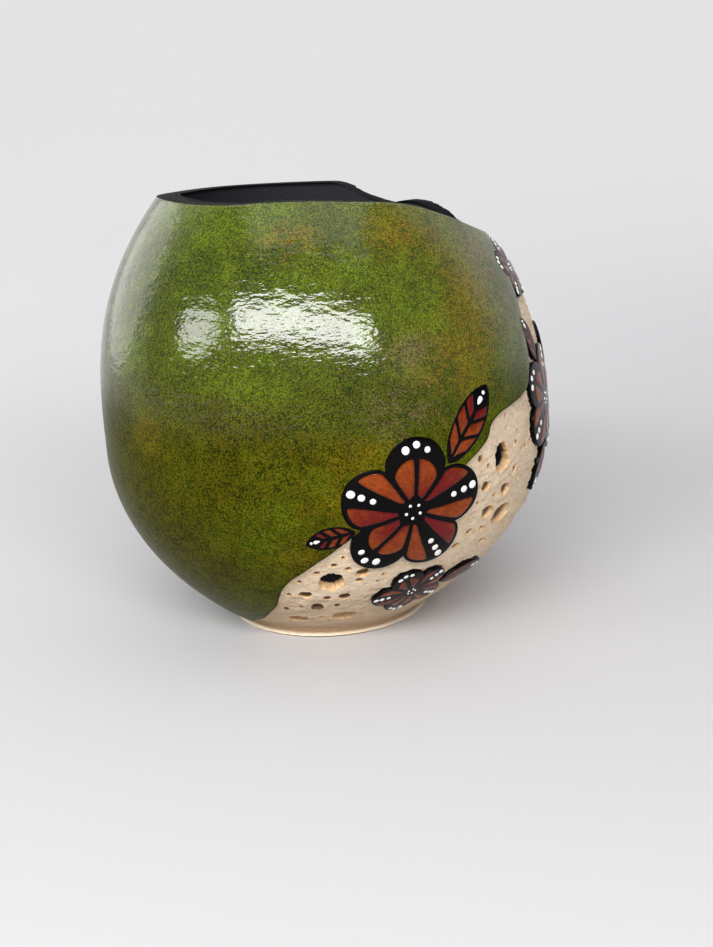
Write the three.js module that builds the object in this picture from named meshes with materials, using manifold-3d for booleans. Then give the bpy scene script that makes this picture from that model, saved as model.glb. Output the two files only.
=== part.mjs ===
import * as THREE from 'three';
import { mergeVertices } from 'three/addons/utils/BufferGeometryUtils.js';
import Module from 'manifold-3d';

// A bowl made from one dried hard-shelled gourd, cut open at the top. Its skin is dyed green, its
// right and back are carved down to a pale pitted ground, and dyed blossoms and leaves lie on that.
// Lengths are millimetres. A turn is in degrees round the upright axis: 0 is the front, 90 the right.
// A height is measured up from the table. A depth is measured inward from the gourd's outer skin.

const wasm = await Module();
wasm.setup();

// The gourd's outside
const bellyRadius = 100;
const bellyHeight = 84;
const baseRadius = 40.3;
const rimRadius = 63.6;
const rimHeight = 191;
const lowerFlank = 1.94;
const lowerShoulder = 1.4;
const upperFlank = 2.737;
const upperShoulder = 0.8;
const bellyLean = 3.7;
const rimLean = -1.8;
const leanGrowth = 1.5;

// The wall and the black coat inside it
const wallThickness = 6.5;
const floorThickness = 7;
const floorRoundness = 0.84;
const coatThickness = 0.6;
const fitGap = 0.3;

// The rim's wave: at each turn, how far the edge is cut below the level part. It rises a little at the
// left, which is a cut below zero.
const rimCuts = [
  [-180, 0.5], [-160, 0.1], [-140, -0.3], [-110, -0.5], [-80, -1.3], [-62, -1], [-45, -0.2], [-26, 0.2],
  [-10, -0.4], [4, -0.2], [14, 0.6], [27, 1.8], [36, 3], [43, 5], [50, 8], [58, 11.9], [66, 16.2],
  [78, 21], [92, 23], [104, 23.2], [111, 22], [115, 18.8], [119, 14.2], [124, 11.1], [131, 10.1],
  [138, 10.9], [142, 12.1], [149, 10], [154, 7.4], [159, 3.7], [164, 1.2], [171, 0.7], [180, 0.5],
];

// The carved ground: how deep it lies, and the turns of its two borders at each height
const groundDepth = 1.9;
const borderSlope = 0.5;
const lipHeight = 2.2;
const coveHeight = 5.2;
const frontBorder = [
  [0, -66], [3, -52], [11.5, -33], [15, -26.6], [25.6, -17.8], [35.5, -14], [41.6, -10.9], [46.1, -7.2],
  [51.2, -3.1], [58.7, 2.6], [68, 10], [80, 26], [94, 40.6], [101, 43], [104, 46.3], [105.4, 50],
  [107.2, 55], [110, 59.5], [116, 62], [130, 64], [150, 69], [rimHeight - 19, 75], [rimHeight + 9, 80],
];
const backBorder = [
  [0, 236], [3, 224], [12, 214], [30, 202], [55, 190], [80, 183], [105, 172], [130, 166], [160, 161],
  [rimHeight + 9, 158],
];

// Two oval holes go right through the carved ground
const throughHoles = [
  { turn: 0.4, height: 38.3, width: 10.8, tall: 12.5 },
  { turn: 46.8, height: 84.2, width: 9.6, tall: 12.4 },
];

// The larger pits that show from the front, each as turn, height and diameter, and the rest of the
// ground's pits, which follow an even spiral round the back
const pitShare = 0.24;
const pitTaper = 0.6;
const frontPits = [
  [9.1, 42.8, 6], [-7.6, 31.1, 5.8], [4.6, 29.1, 5], [-4.4, 22.6, 5.5], [-13.3, 13, 9.6], [5.5, 14.3, 11.2],
  [41.3, 73.9, 5.2], [49.5, 69.2, 6], [44, 60.8, 7.2], [50.9, 56.9, 12.4], [62.1, 53.5, 4.6],
];
const backPitCount = 44;
const backPitTurns = [62, 190];
const backPitHeights = [14, rimHeight - 31];
const backPitSize = 5;
const backPitGrowth = 5;

// Blossoms and leaves: each is a dyed piece in a pocket cut a little deeper than the ground. A leaf
// grows out of the notch between two petals of its blossom, in the direction given.
const reliefThickness = 2.6;
const petalNotch = 0.3;
const petalRoundness = 0.75;
const leafRoundness = 0.45;
const leafGap = 2.2;
const blossoms = {
  front: { turn: 20, height: 71, radius: 31, petals: 5, tilt: 14 },
  low: { turn: 27, height: 28, radius: 17, petals: 5, tilt: 46 },
  side: { turn: 73, height: 100, radius: 24, petals: 5, tilt: 74 },
  rim: { turn: 76, height: rimHeight - 35, radius: 14.5, petals: 5, tilt: 90 },
  back: { turn: 121, height: 70, radius: 31, petals: 6, tilt: 30 },
  back_rim: { turn: 134, height: rimHeight - 33, radius: 24, petals: 5, tilt: 90 },
  far: { turn: 166, height: 62, radius: 17, petals: 5, tilt: 74 },
};
const leaves = [
  { name: 'leaf_front_top', by: 'front', towards: 50, length: 36, width: 15 },
  { name: 'leaf_front_left', by: 'front', towards: 194, length: 20, width: 10 },
  { name: 'leaf_low_right', by: 'low', towards: 10, length: 25, width: 11 },
  { name: 'leaf_side_top', by: 'side', towards: 110, length: 21, width: 10 },
  { name: 'leaf_side_right', by: 'side', towards: 38, length: 26, width: 12 },
  { name: 'leaf_side_low', by: 'side', towards: 254, length: 22, width: 11 },
  { name: 'leaf_back_top', by: 'back', towards: 120, length: 30, width: 13 },
  { name: 'leaf_back_right', by: 'back', towards: 60, length: 30, width: 13 },
  { name: 'leaf_back_low_left', by: 'back', towards: 240, length: 29, width: 13 },
  { name: 'leaf_back_low_right', by: 'back', towards: 300, length: 29, width: 13 },
  { name: 'leaf_back_rim_left', by: 'back_rim', towards: 198, length: 25, width: 12 },
  { name: 'leaf_back_rim_right', by: 'back_rim', towards: 342, length: 25, width: 12 },
  { name: 'leaf_far_top', by: 'far', towards: 110, length: 24, width: 11 },
  { name: 'leaf_far_low', by: 'far', towards: 254, length: 24, width: 11 },
];

// How finely the round forms are divided
const roundSteps = 48;
const lowCrowding = 1.3;
const outsideRowCount = 14;
const insideRowCount = 10;
const fieldColumns = 22;
const groundColumns = 36;
const groundRowSpacing = 13;
const stepsPerPetal = 6;
const leafSteps = 14;
const pitSteps = 7;
const holeSteps = 16;
const ringSpacing = 16;
const cutterReach = 40;
const cutterMargin = 2;

const green = 0x68712f;
const black = 0x141414;
const orange = 0xb5501e;
const red = 0x9c2820;

const toRadians = THREE.MathUtils.degToRad;
const toDegrees = THREE.MathUtils.radToDeg;

function reachTo(edgeRadius, span, flank, shoulder) {
  return span / (1 - (edgeRadius / bellyRadius) ** shoulder) ** (1 / flank);
}

function outerRadius(height) {
  const low = height < bellyHeight;
  const flank = low ? lowerFlank : upperFlank;
  const shoulder = low ? lowerShoulder : upperShoulder;
  const reach = low
    ? reachTo(baseRadius, bellyHeight, flank, shoulder)
    : reachTo(rimRadius, rimHeight - bellyHeight, flank, shoulder);
  const share = Math.min(Math.abs(height - bellyHeight) / reach, 1);
  return bellyRadius * (1 - share ** flank) ** (1 / shoulder);
}

// The gourd grew a little crooked: how far right of the base's middle a level's middle lies
function centreShift(height) {
  if (height < bellyHeight) return bellyLean * (1 - (1 - height / bellyHeight) ** leanGrowth);
  const share = (height - bellyHeight) / (rimHeight - bellyHeight);
  return bellyLean + (rimLean - bellyLean) * share ** leanGrowth;
}

// The skin's outward direction at a height, as its level and upright shares
function skinDirection(height) {
  const slope = outerRadius(height + 0.5) - outerRadius(height - 0.5);
  const length = Math.hypot(1, slope);
  return { level: 1 / length, upright: -slope / length };
}

function skinPoint(turn, height, depth = 0) {
  const direction = skinDirection(height);
  const radius = outerRadius(height) - depth * direction.level;
  const middle = centreShift(Math.max(height, 0));
  return new THREE.Vector3(
    middle + radius * Math.sin(toRadians(turn)),
    -radius * Math.cos(toRadians(turn)),
    height - depth * direction.upright,
  );
}

// Height reached by going a distance up the skin, or down for a distance below zero
function climb(height, distance) {
  const steps = 8;
  let reached = height;
  for (let i = 0; i < steps; i += 1) reached += (distance / steps) * skinDirection(reached).level;
  return reached;
}

// The place that lies so far to the right and so far up the skin from another
function beside(place, across, up) {
  const height = climb(place.height, up);
  return { turn: place.turn + toDegrees(across / outerRadius(height)), height };
}

// Value of the smooth curve through stations, which are pairs of position and value
function curveValue(stations, position) {
  const last = stations.length - 1;
  let i = 0;
  while (i < last - 1 && stations[i + 1][0] < position) i += 1;
  const slopeAt = (k) => {
    const before = stations[Math.max(k - 1, 0)];
    const after = stations[Math.min(k + 1, last)];
    return (after[1] - before[1]) / (after[0] - before[0]);
  };
  const span = stations[i + 1][0] - stations[i][0];
  const t = THREE.MathUtils.clamp((position - stations[i][0]) / span, 0, 1);
  const start = stations[i][1] * (1 - t) ** 2 * (1 + 2 * t);
  const end = stations[i + 1][1] * t * t * (3 - 2 * t);
  return start + end + span * t * (1 - t) * (slopeAt(i) * (1 - t) - slopeAt(i + 1) * t);
}

function rimAt(turn) {
  return rimHeight - curveValue(rimCuts, turn > 180 ? turn - 360 : turn);
}

// The cove sweeps out to the skin and beyond it, so the lip at the table stands a little proud
function groundDepthAt(height) {
  const share = Math.max((lipHeight + coveHeight - height) / coveHeight, 0);
  return groundDepth * (1 - share ** 2);
}

// A closed solid over rings of points that run anticlockwise seen from its last end
function ringSolid(firstEnd, rings, lastEnd) {
  const count = rings[0].length;
  const points = [firstEnd, ...rings.flat(), lastEnd];
  const last = points.length - 1;
  const faces = [];
  for (let i = 0; i < count; i += 1) {
    const next = (i + 1) % count;
    faces.push(0, 1 + next, 1 + i);
    for (let k = 0; k < rings.length - 1; k += 1) {
      const low = 1 + k * count;
      const high = low + count;
      faces.push(low + i, low + next, high + next, low + i, high + next, high + i);
    }
    faces.push(last, last - count + i, last - count + next);
  }
  const geometry = new THREE.BufferGeometry().setFromPoints(points);
  geometry.setIndex(faces);
  return solidOf(geometry);
}

function solidOf(geometry) {
  geometry.deleteAttribute('normal');
  geometry.deleteAttribute('uv');
  const merged = mergeVertices(geometry);
  return new wasm.Manifold(new wasm.Mesh({
    numProp: 3,
    vertProperties: merged.getAttribute('position').array,
    triVerts: Uint32Array.from(merged.index.array),
  }));
}

// The skin's outline at one depth, as radius and height, from one height to another
function skinProfile(depth, from, to, steps) {
  return Array.from({ length: steps + 1 }, (_, i) => {
    const height = from + (to - from) * (i / steps) ** lowCrowding;
    const { level, upright } = skinDirection(height);
    return new THREE.Vector2(outerRadius(height) - depth * level, height - depth * upright);
  });
}

function leaningLathe(profile) {
  const bottom = new THREE.Vector2(0, profile[0].y);
  const top = new THREE.Vector2(0, profile[profile.length - 1].y);
  const geometry = new THREE.LatheGeometry([bottom, ...profile, top], roundSteps);
  geometry.rotateX(Math.PI / 2);
  const positions = geometry.getAttribute('position');
  for (let i = 0; i < positions.count; i += 1) {
    positions.setX(i, positions.getX(i) + centreShift(positions.getZ(i)));
  }
  return solidOf(geometry);
}

// The levels at which the ground is drawn: the lip, the cove and every station of the front border
function groundRows() {
  const coveRows = [0, 0.3, 0.6, 1].map((share) => lipHeight + share * coveHeight);
  const stations = [...frontBorder.map(([height]) => height), ...coveRows];
  stations.sort((a, b) => a - b);
  const rows = [stations[0]];
  for (let i = 1; i < stations.length; i += 1) {
    const span = stations[i] - stations[i - 1];
    const steps = Math.ceil(span / groundRowSpacing);
    for (let k = 1; k <= steps; k += 1) rows.push(stations[i - 1] + (span * k) / steps);
  }
  return rows;
}

// A body that lies at the ground's depth between the two borders and at another depth elsewhere
function groundBody(rows, fieldDepth) {
  const rings = rows.map((height) => {
    const front = curveValue(frontBorder, height);
    const back = curveValue(backBorder, height);
    const edge = toDegrees(borderSlope / outerRadius(height));
    const ring = [];
    for (let i = 0; i <= groundColumns; i += 1) {
      const turn = front + edge + ((back - front - 2 * edge) * i) / groundColumns;
      ring.push(skinPoint(turn, height, groundDepthAt(height)));
    }
    for (let i = 0; i <= fieldColumns; i += 1) {
      ring.push(skinPoint(back + ((front + 360 - back) * i) / fieldColumns, height, fieldDepth));
    }
    return ring;
  });
  const below = new THREE.Vector3(0, 0, rows[0] - cutterMargin);
  const above = new THREE.Vector3(0, 0, rows[rows.length - 1]);
  return ringSolid(below, rings, above);
}

function gourdOutside() {
  const skin = leaningLathe(skinProfile(0, 0, rimHeight + cutterMargin, outsideRowCount));
  const lip = groundBody([0, lipHeight / 2, lipHeight], cutterMargin).trimByPlane([0, 0, 1], 0);
  return skin.intersect(groundBody(groundRows(), -cutterMargin)).add(lip);
}

// The space inside a skin that lies at one depth all round, open at the top
function hollow(depth) {
  const floor = floorThickness + depth - wallThickness;
  const profile = skinProfile(depth, floor, rimHeight + cutterMargin, insideRowCount);
  const floorEdge = new THREE.Vector2(profile[0].x * floorRoundness, floor);
  const mouth = new THREE.Vector2(profile[insideRowCount].x, rimHeight + cutterReach);
  return leaningLathe([floorEdge, ...profile, mouth]);
}

// Everything above the waved rim
function rimCutter() {
  const inner = rimRadius / 3;
  const outer = bellyRadius + cutterReach;
  const top = rimHeight + cutterReach;
  const corners = [[inner, 0], [outer, 0], [outer, 1], [inner, 1]];
  const points = [];
  const faces = [];
  for (let i = 0; i < roundSteps; i += 1) {
    const turn = -180 + (360 * i) / roundSteps;
    for (const [radius, upper] of corners) {
      points.push(new THREE.Vector3(
        rimLean + radius * Math.sin(toRadians(turn)),
        -radius * Math.cos(toRadians(turn)),
        upper ? top : rimAt(turn),
      ));
    }
    const here = 4 * i;
    const next = 4 * ((i + 1) % roundSteps);
    for (let k = 0; k < 4; k += 1) {
      const side = (k + 1) % 4;
      faces.push(here + k, next + side, here + side, here + k, next + k, next + side);
    }
  }
  const geometry = new THREE.BufferGeometry().setFromPoints(points);
  geometry.setIndex(faces);
  return solidOf(geometry);
}

function blossomOutline({ radius, petals }) {
  const count = petals * stepsPerPetal;
  return Array.from({ length: count }, (_, i) => {
    const angle = (2 * Math.PI * i) / count;
    const fullness = Math.abs(Math.cos((petals * angle) / 2)) ** petalRoundness;
    const reach = radius * (1 - petalNotch * (1 - fullness));
    return new THREE.Vector2(reach * Math.cos(angle), reach * Math.sin(angle));
  });
}

function leafOutline({ length, width }) {
  return Array.from({ length: leafSteps }, (_, i) => {
    const angle = (2 * Math.PI * i) / leafSteps;
    const side = Math.sin(angle) * Math.abs(Math.sin(angle)) ** leafRoundness;
    return new THREE.Vector2((length / 2) * Math.cos(angle), (width / 2) * side);
  });
}

function ovalOutline({ width, tall }, steps) {
  return Array.from({ length: steps }, (_, i) => {
    const angle = (2 * Math.PI * i) / steps;
    return new THREE.Vector2((width / 2) * Math.cos(angle), (tall / 2) * Math.sin(angle));
  });
}

function grown(outline, margin) {
  const count = outline.length;
  return outline.map((point, i) => {
    const along = outline[(i + 1) % count].clone().sub(outline[(i + count - 1) % count]).normalize();
    return new THREE.Vector2(point.x + margin * along.y, point.y - margin * along.x);
  });
}

function reachOf(outline) {
  return Math.max(...outline.map((point) => point.length()));
}

// A piece of the wall under an outline laid on the skin, from one depth to another. Its inner
// outline is scaled by taper.
function wallPiece(place, outline, outerDepth, innerDepth, ringCount = 1, taper = 1) {
  const tilt = toRadians(place.tilt ?? 0);
  const ringAt = (scale, depth) => outline.map((point) => {
    const laid = point.clone().multiplyScalar(scale).rotateAround(new THREE.Vector2(), tilt);
    const { turn, height } = beside(place, laid.x, laid.y);
    return skinPoint(turn, height, depth);
  });
  const shares = Array.from({ length: ringCount }, (_, i) => (i + 1) / ringCount);
  const rings = [
    ...shares.map((share) => ringAt(share * taper, innerDepth)),
    ...shares.reverse().map((share) => ringAt(share, outerDepth)),
  ];
  const { turn, height } = place;
  return ringSolid(skinPoint(turn, height, innerDepth), rings, skinPoint(turn, height, outerDepth));
}

function leafPlace({ by, towards, length }) {
  const blossom = blossoms[by];
  const distance = blossom.radius * (1 - petalNotch) + leafGap + length / 2;
  const angle = toRadians(towards);
  return { ...beside(blossom, distance * Math.cos(angle), distance * Math.sin(angle)), tilt: towards };
}

function relief(name, place, outline, colour) {
  const reach = reachOf(outline);
  return { ...place, name, outline, colour, reach, ringCount: Math.ceil(reach / ringSpacing) };
}

const reliefs = [
  ...Object.entries(blossoms).map(([name, blossom]) => (
    relief(`blossom_${name}`, blossom, blossomOutline(blossom), orange)
  )),
  ...leaves.map((leaf) => relief(leaf.name, leafPlace(leaf), leafOutline(leaf), red)),
];

// Whether a pit of this size on the ground would keep clear of the reliefs, holes and borders
function fitsOnGround(turn, height, size) {
  const distanceTo = (place) => Math.hypot(
    toRadians(place.turn - turn) * outerRadius(height),
    place.height - height,
  );
  const clear = reliefs.every((piece) => distanceTo(piece) > piece.reach + size / 2);
  const margin = toDegrees((size + groundDepth) / outerRadius(height));
  return clear
    && turn > curveValue(frontBorder, height) + margin
    && turn < curveValue(backBorder, height) - margin
    && height < rimAt(turn) - size - wallThickness;
}

function allPits() {
  const pits = frontPits.map(([turn, height, size]) => ({ turn, height, size }));
  const goldenShare = (Math.sqrt(5) - 1) / 2;
  for (let i = 0; i < backPitCount; i += 1) {
    const turn = THREE.MathUtils.lerp(...backPitTurns, (i * goldenShare) % 1);
    const height = THREE.MathUtils.lerp(...backPitHeights, (i + 0.5) / backPitCount);
    const size = backPitSize + backPitGrowth * ((i * Math.SQRT2) % 1);
    if (fitsOnGround(turn, height, size)) pits.push({ turn, height, size });
  }
  return pits;
}

function pitCutter({ turn, height, size }) {
  const outline = ovalOutline({ width: size, tall: size }, pitSteps);
  return wallPiece({ turn, height }, outline, -cutterMargin, groundDepth + size * pitShare, 1, pitTaper);
}

function holeCutter(hole) {
  const through = wallThickness + fitGap + coatThickness + cutterMargin;
  return wallPiece(hole, ovalOutline(hole, holeSteps), -cutterMargin, through);
}

function reliefPocket(piece) {
  const outline = grown(piece.outline, fitGap);
  return wallPiece(piece, outline, -cutterMargin, reliefThickness + fitGap, piece.ringCount);
}

function gourdShell() {
  let shell = gourdOutside().subtract(hollow(wallThickness)).subtract(rimCutter());
  for (const pit of allPits()) shell = shell.subtract(pitCutter(pit));
  for (const hole of throughHoles) shell = shell.subtract(holeCutter(hole));
  for (const piece of reliefs) shell = shell.subtract(reliefPocket(piece));
  return shell;
}

// The black paint on the inside, which the two holes pierce as well
function interiorCoat() {
  const outerDepth = wallThickness + fitGap;
  let coat = hollow(outerDepth).subtract(hollow(outerDepth + coatThickness)).subtract(rimCutter());
  for (const hole of throughHoles) coat = coat.subtract(holeCutter(hole));
  return coat;
}

function reliefPiece(piece) {
  return wallPiece(piece, piece.outline, 0, reliefThickness, piece.ringCount);
}

function namedMesh(name, solid, colour, roughness) {
  const { vertProperties, triVerts } = solid.getMesh();
  const geometry = new THREE.BufferGeometry();
  geometry.setAttribute('position', new THREE.BufferAttribute(vertProperties, 3));
  geometry.setIndex(new THREE.BufferAttribute(triVerts, 1));
  geometry.computeVertexNormals();
  const material = new THREE.MeshStandardMaterial({ color: colour, roughness, metalness: 0 });
  const mesh = new THREE.Mesh(geometry, material);
  mesh.name = name;
  return mesh;
}

const bowl = new THREE.Group();
bowl.name = 'gourd_bowl';
bowl.add(namedMesh('gourd_shell', gourdShell(), green, 0.15));
bowl.add(namedMesh('interior_coat', interiorCoat(), black, 0.85));
for (const piece of reliefs) bowl.add(namedMesh(piece.name, reliefPiece(piece), piece.colour, 0.25));

export default bowl;
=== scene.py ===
import math
import bpy
import numpy as np
from mathutils import Matrix, Vector, noise


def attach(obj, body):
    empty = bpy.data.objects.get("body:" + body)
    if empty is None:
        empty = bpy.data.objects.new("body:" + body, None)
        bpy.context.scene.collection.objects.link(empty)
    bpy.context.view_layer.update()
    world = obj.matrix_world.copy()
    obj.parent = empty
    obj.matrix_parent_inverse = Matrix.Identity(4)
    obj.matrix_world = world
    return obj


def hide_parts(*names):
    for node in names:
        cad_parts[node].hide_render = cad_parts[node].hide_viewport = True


# Lengths are millimetres until a mesh is made. A turn is in degrees round the upright axis: 0 is the
# front, 90 the right. A height is measured up from the table, a depth inward from the outer skin.

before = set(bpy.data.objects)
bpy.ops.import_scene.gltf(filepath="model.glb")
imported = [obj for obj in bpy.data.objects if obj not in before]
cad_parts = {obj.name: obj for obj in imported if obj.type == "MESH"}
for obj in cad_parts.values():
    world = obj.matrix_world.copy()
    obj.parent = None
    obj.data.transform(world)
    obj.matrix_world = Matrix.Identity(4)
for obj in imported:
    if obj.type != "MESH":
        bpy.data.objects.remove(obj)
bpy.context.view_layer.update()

# The gourd itself: one hard wall, skinned in green leather dye under lacquer on the front, left and
# back left. Right and back are carved 1.9 mm down to a pale rough ground that sweeps out to a thin
# lip at the base. The ground is drilled with round pits, and two oval holes go right through.

# Its form: a round belly on a narrow base, drawn in to a wide mouth and leaning a little. All the other
# pieces are laid on this surface by a turn, a height and a depth.

BELLY_RADIUS, BELLY_HEIGHT = 100, 84
BASE_RADIUS, RIM_RADIUS, RIM_HEIGHT = 40.3, 63.6, 191
LOWER_FLANK, LOWER_SHOULDER = 1.94, 1.4
UPPER_FLANK, UPPER_SHOULDER = 2.737, 0.8
BELLY_LEAN, RIM_LEAN, LEAN_GROWTH = 3.7, -1.8, 1.5


def reach_to(edge_radius, span, flank, shoulder):
    return span / (1 - (edge_radius / BELLY_RADIUS) ** shoulder) ** (1 / flank)


LOW_REACH = reach_to(BASE_RADIUS, BELLY_HEIGHT, LOWER_FLANK, LOWER_SHOULDER)
HIGH_REACH = reach_to(RIM_RADIUS, RIM_HEIGHT - BELLY_HEIGHT, UPPER_FLANK, UPPER_SHOULDER)


def outer_radius(height):
    low = height < BELLY_HEIGHT
    flank = np.where(low, LOWER_FLANK, UPPER_FLANK)
    shoulder = np.where(low, LOWER_SHOULDER, UPPER_SHOULDER)
    share = np.abs(height - BELLY_HEIGHT) / np.where(low, LOW_REACH, HIGH_REACH)
    return BELLY_RADIUS * (1 - np.minimum(share, 1) ** flank) ** (1 / shoulder)


def centre_shift(height):
    below = np.clip(1 - height / BELLY_HEIGHT, 0, 1)
    above = np.clip((height - BELLY_HEIGHT) / (RIM_HEIGHT - BELLY_HEIGHT), 0, None)
    return BELLY_LEAN * (1 - below ** LEAN_GROWTH) + (RIM_LEAN - BELLY_LEAN) * above ** LEAN_GROWTH


def skin_direction(height):
    slope = outer_radius(height + 0.5) - outer_radius(height - 0.5)
    length = np.hypot(1, slope)
    return 1 / length, -slope / length


def skin_point(turn, height, depth=0.0):
    turn, height, depth = np.broadcast_arrays(np.radians(turn), np.asarray(height, float), depth)
    level, upright = skin_direction(height)
    radius = outer_radius(height) - depth * level
    middle = centre_shift(np.maximum(height, 0))
    return np.stack([middle + radius * np.sin(turn), -radius * np.cos(turn), height - depth * upright], -1)


def climb(height, distance):
    # The height that a walk of that distance up the skin reaches
    reached = height + 0.0 * distance
    for _ in range(8):
        reached = reached + distance / 8 * skin_direction(reached)[0]
    return reached


def laid_point(place, across, up, depth):
    height = climb(place["height"], up)
    return skin_point(place["turn"] + np.degrees(across / outer_radius(height)), height, depth)


def curve_value(stations, position):
    # A smooth curve through pairs of place and value, without overshoot at its ends
    places, values = np.array(stations, float).T
    last = len(places) - 1
    before, after = np.maximum(np.arange(last + 1) - 1, 0), np.minimum(np.arange(last + 1) + 1, last)
    slopes = (values[after] - values[before]) / (places[after] - places[before])
    i = np.clip(np.searchsorted(places, position) - 1, 0, last - 1)
    span = places[i + 1] - places[i]
    t = np.clip((position - places[i]) / span, 0, 1)
    bend = span * t * (1 - t) * (slopes[i] * (1 - t) - slopes[i + 1] * t)
    return values[i] * (1 - t) ** 2 * (1 + 2 * t) + values[i + 1] * t * t * (3 - 2 * t) + bend


def smooth(low, high, value):
    t = np.clip((value - low) / (high - low), 0, 1)
    return t * t * (3 - 2 * t)


def rumple(points, scale, seed=0.0):
    # A soft unevenness between about -1 and 1 at each point
    flat = points.reshape(-1, points.shape[-1])
    spots = np.column_stack([flat, 0 * flat[:, 0]])[:, :3] * scale + seed
    return np.array([noise.noise(spot) for spot in spots.tolist()]).reshape(points.shape[:-1])


# The wall, the waved rim and the ground. RIM_CUTS are pairs of turn and how far the rim is cut below
# its full height. The borders of the green skin are pairs of height and turn. LIP_OUT says how far
# the lip stands out, or is grooved in, at each height.

WALL, FLOOR = 6.5, 7.0
RIM_CUTS = [(-180, 0.5), (-160, 0.1), (-140, -0.3), (-110, -0.5), (-80, -1.3), (-62, -1), (-45, -0.2),
            (-26, 0.2), (-10, -0.4), (4, -0.2), (14, 0.6), (27, 1.8), (36, 3), (43, 5), (50, 8),
            (58, 11.9), (66, 16.2), (78, 21), (92, 23), (104, 23.2), (111, 22), (115, 18.8),
            (119, 14.2), (124, 11.1), (131, 10.1), (138, 10.9), (142, 12.1), (149, 10), (154, 7.4),
            (159, 3.7), (164, 1.2), (171, 0.7), (180, 0.5)]
FRONT_BORDER = [(0, -80), (1.2, -64), (3, -52), (11.5, -33), (15, -26.6), (25.6, -17.8), (35.5, -14),
                (41.6, -10.9), (46.1, -7.2), (51.2, -3.1), (58.7, 2.6), (68, 10), (80, 26), (94, 40.6),
                (101, 43), (104, 46.3), (105.4, 50), (107.2, 55), (110, 59.5), (116, 62), (130, 64),
                (150, 69), (172, 75), (200, 80)]
BACK_BORDER = [(0, 236), (3, 224), (12, 214), (30, 202), (55, 190), (80, 183), (105, 172), (130, 166),
               (160, 161), (200, 158)]
GROUND_DEPTH, LIP_HEIGHT, COVE_HEIGHT, COVE_POWER = 1.9, 2.2, 5.2, 3.4
LIP_OUT = [(0.6, 1.2), (0.9, 1.6), (1.2, 1.5), (1.4, 1.0), (1.8, -0.1), (2.4, -0.6), (3.6, -0.6),
           (5.2, -0.3), (7, 0)]
LIP_EDGE_HEIGHTS = [[0.6], [0.85], [1.1], [1.35]]
FOOT_PARED = 0.965
RIM_ROUNDING = [(0.06, 0.02), (0, 0.06), (0, 0.3), (0, 0.6), (0.05, 0.8), (0.25, 0.93), (0.7, 0.99)]
INSIDE_BEND = 0.84, 0.95
LEVEL_BELOW = 100
ROW_SPACING, BORDER_SPACING, LIP_ROWS = 1.4, 2.4, 1.6
GROUND_COLUMNS, SKIN_COLUMNS, INSIDE_ROWS = 226, 100, 20


def rim_at(turn):
    return RIM_HEIGHT - curve_value(RIM_CUTS, (turn + 180) % 360 - 180)


def row_height(level, turn):
    # Rows are level on the belly and bend to follow the waved rim above it
    bent = (level - LEVEL_BELOW) * (rim_at(turn) - LEVEL_BELOW) / (RIM_HEIGHT - LEVEL_BELOW)
    return np.where(level < LEVEL_BELOW, level, LEVEL_BELOW + bent)


def border_at(border, height):
    # The knife wavered a little along the border
    spots = np.stack([height, 0 * height + border[0][1]], -1)
    waver = 0.9 * rumple(spots, 0.11) + 0.45 * rumple(spots, 0.37)
    return curve_value(border, height) + np.degrees(waver * smooth(2, 12, height) / outer_radius(height))


def border_turn(border, level):
    turn = curve_value(border, level)
    for _ in range(6):
        turn = border_at(border, row_height(level, turn))
    return turn


def ground_depth(height):
    # The cove sweeps out past the skin, so the lip stands proud with a sharp edge
    share = np.maximum((LIP_HEIGHT + COVE_HEIGHT - height) / COVE_HEIGHT, 0)
    straight = COVE_POWER * share - (COVE_POWER - 1)
    return GROUND_DEPTH * (1 - np.where(share < 1, share ** COVE_POWER, straight))


def lip_start():
    # The height on the skin whose point, moved out to the lip, lies on the table
    height = np.linspace(0, LIP_HEIGHT, 500)
    return np.interp(0, skin_point(0, height, ground_depth(height))[:, 2], height)


def row_levels():
    # Rows crowd together where the border runs level, and at the lip
    height = np.linspace(0, RIM_HEIGHT - 0.2, 6000)
    border_place = np.radians(curve_value(FRONT_BORDER, height)) * outer_radius(height)
    border_run = np.abs(np.gradient(border_place, height))
    rows = np.maximum(1 / skin_direction(height)[0] / ROW_SPACING, border_run / BORDER_SPACING)
    rows += LIP_ROWS * (1 - smooth(LIP_HEIGHT, LIP_HEIGHT + COVE_HEIGHT, height))
    count = np.concatenate([[0], np.cumsum((rows[1:] + rows[:-1]) / 2 * np.diff(height))])
    return np.interp(np.linspace(0, count[-1], int(count[-1])), count, height)


def floor_bend(corner, floor):
    # From the side wall round into the flat floor, and towards its middle
    middle = np.array([centre_shift(floor), 0, floor])
    flat, knee = [(corner - middle) * scale + middle for scale in INSIDE_BEND]
    flat[:, 2] = knee[:, 2] = floor
    share = np.linspace(0, 1, 7)[1:, None, None]
    bend = (1 - share) ** 2 * corner + 2 * share * (1 - share) * knee + share ** 2 * flat
    return np.concatenate([bend, [(flat - middle) * scale + middle for scale in (0.85, 0.6, 0.3)]])


def border_sides(front, back, step):
    # Each column's turn, its share of the ground's depth, and its material, 0 green or 1 bare. The
    # columns crowd at the two borders, where the skin is cut.
    edge = np.array([(-0.6, 0.0), (-0.2, 0.03), (0.0, 0.2), (0.15, 0.55), (0.3, 0.85), (0.6, 1.0)])
    reach = edge[-1, 0] * step
    ground = front + reach + (back - front - 2 * reach) * np.linspace(0, 1, GROUND_COLUMNS)
    skin = back + reach + (front + 360 - back - 2 * reach) * np.linspace(0, 1, SKIN_COLUMNS)
    turn = np.hstack([ground, back - step * edge[-2:0:-1, 0], skin, front + 360 + step * edge[1:-1, 0]])
    bare, green = np.ones(GROUND_COLUMNS), np.zeros(SKIN_COLUMNS)
    share = np.concatenate([bare, edge[-2:0:-1, 1], green, edge[1:-1, 1]])
    kind = np.concatenate([bare, [1, 1, 1, 0], green, [0, 1, 1, 1]]).astype(int)
    return turn, share, kind


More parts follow.
